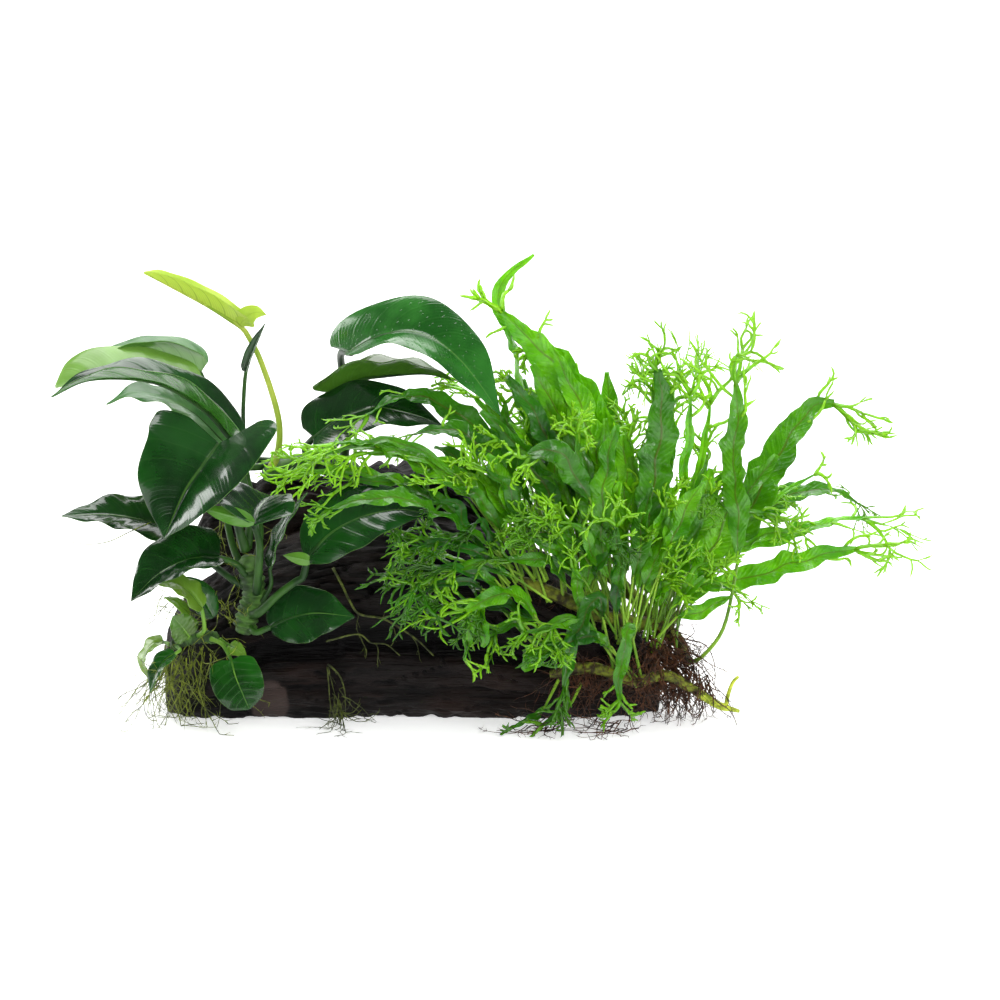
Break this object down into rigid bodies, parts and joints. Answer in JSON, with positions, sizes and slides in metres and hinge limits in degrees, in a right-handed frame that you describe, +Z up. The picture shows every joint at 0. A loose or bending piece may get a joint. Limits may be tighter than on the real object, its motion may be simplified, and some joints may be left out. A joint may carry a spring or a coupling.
{
  "type": "java fern on driftwood",
  "caption": "Dark driftwood log, flat underneath, with a lace java fern and a broad-leaved Anubias rooted on it, to stand in a planted aquarium.",
  "frame": {"origin": "on the flat underside of the log, in the middle of its thickness, 6 mm from the middle of its length", "axes": "+X along the log towards the fern, -Y towards the front of the log, +Z up"},
  "size_m": [0.3985, 0.1506, 0.2062],
  "materials": {
    "driftwood": "dark, grooved, slightly damp",
    "anubias_dark": "glossy leaf",
    "anubias_fresh": "fresh leaf, satin",
    "anubias_stem": "satin stem",
    "fern_green": "thin satin frond",
    "fern_stem": "fuzzy stem",
    "root_olive": "wiry root",
    "root_brown": "hairy root"
  },
  "bodies": {
    "root": {"anubias_leaf_base_v": "anubias_dark", "anubias_leaf_brown_edge": "anubias_dark", "anubias_leaf_far_left": "anubias_fresh", "anubias_leaf_front_heart": "anubias_dark", "anubias_leaf_front_low": "anubias_dark", "anubias_leaf_left_point": "anubias_dark", "anubias_leaf_long_gutter": "anubias_dark", "anubias_leaf_low_dark": "anubias_dark", "anubias_leaf_low_left": "anubias_fresh", "anubias_leaf_low_left_pale": "anubias_fresh", "anubias_leaf_new_rolled": "anubias_fresh", "anubias_leaf_over_log": "anubias_dark", "anubias_leaf_pale_small": "anubias_fresh", "anubias_leaf_round": "anubias_fresh", "anubias_leaf_small_bright": "anubias_fresh", "anubias_leaf_spear": "anubias_dark", "anubias_leaf_tiny_right": "anubias_fresh", "anubias_leaf_top_dark": "anubias_dark", "anubias_leaf_top_large": "anubias_dark", "anubias_leaf_top_middle": "anubias_dark", "anubias_leaf_under_gutter": "anubias_dark", "anubias_leaf_yellow_left": "anubias_fresh", "anubias_rhizome_back": "anubias_stem", "anubias_rhizome_main": "anubias_stem", "anubias_rhizome_small": "anubias_stem", "anubias_root_lower": "root_olive", "anubias_root_tuft": "root_olive", "anubias_root_upper": "root_olive", "anubias_roots_left": "root_olive", "driftwood_trunk": "driftwood", "driftwood_upper_limb": "driftwood", "fern_frond_arch_high": "fern_green", "fern_frond_arch_left": "fern_green", "fern_frond_arch_mid": "fern_green", "fern_frond_centre_tall": "fern_green", "fern_frond_dark_left": "fern_green", "fern_frond_front_droop": "fern_green", "fern_frond_front_droop_right": "fern_green", "fern_frond_low_left": "fern_green", "fern_frond_over_leaf": "fern_green", "fern_frond_right_arch": "fern_green", "fern_frond_right_high": "fern_green", "fern_frond_right_low": "fern_green", "fern_frond_right_mid": "fern_green", "fern_frond_right_tall": "fern_green", "fern_frond_right_thin": "fern_green", "fern_frond_tall": "fern_green", "fern_frond_tall_behind": "fern_green", "fern_frond_tongue": "fern_green", "fern_frond_twisted": "fern_green", "fern_rhizome_back": "fern_stem", "fern_rhizome_front": "fern_stem", "fern_rhizome_top": "fern_stem", "fern_roots_front": "root_brown", "fern_roots_right": "root_brown", "fern_small_fronds_behind": "fern_green", "fern_small_fronds_centre": "fern_green", "fern_small_fronds_left": "fern_green", "fern_small_fronds_right": "fern_green"}
  },
  "joints": []
}
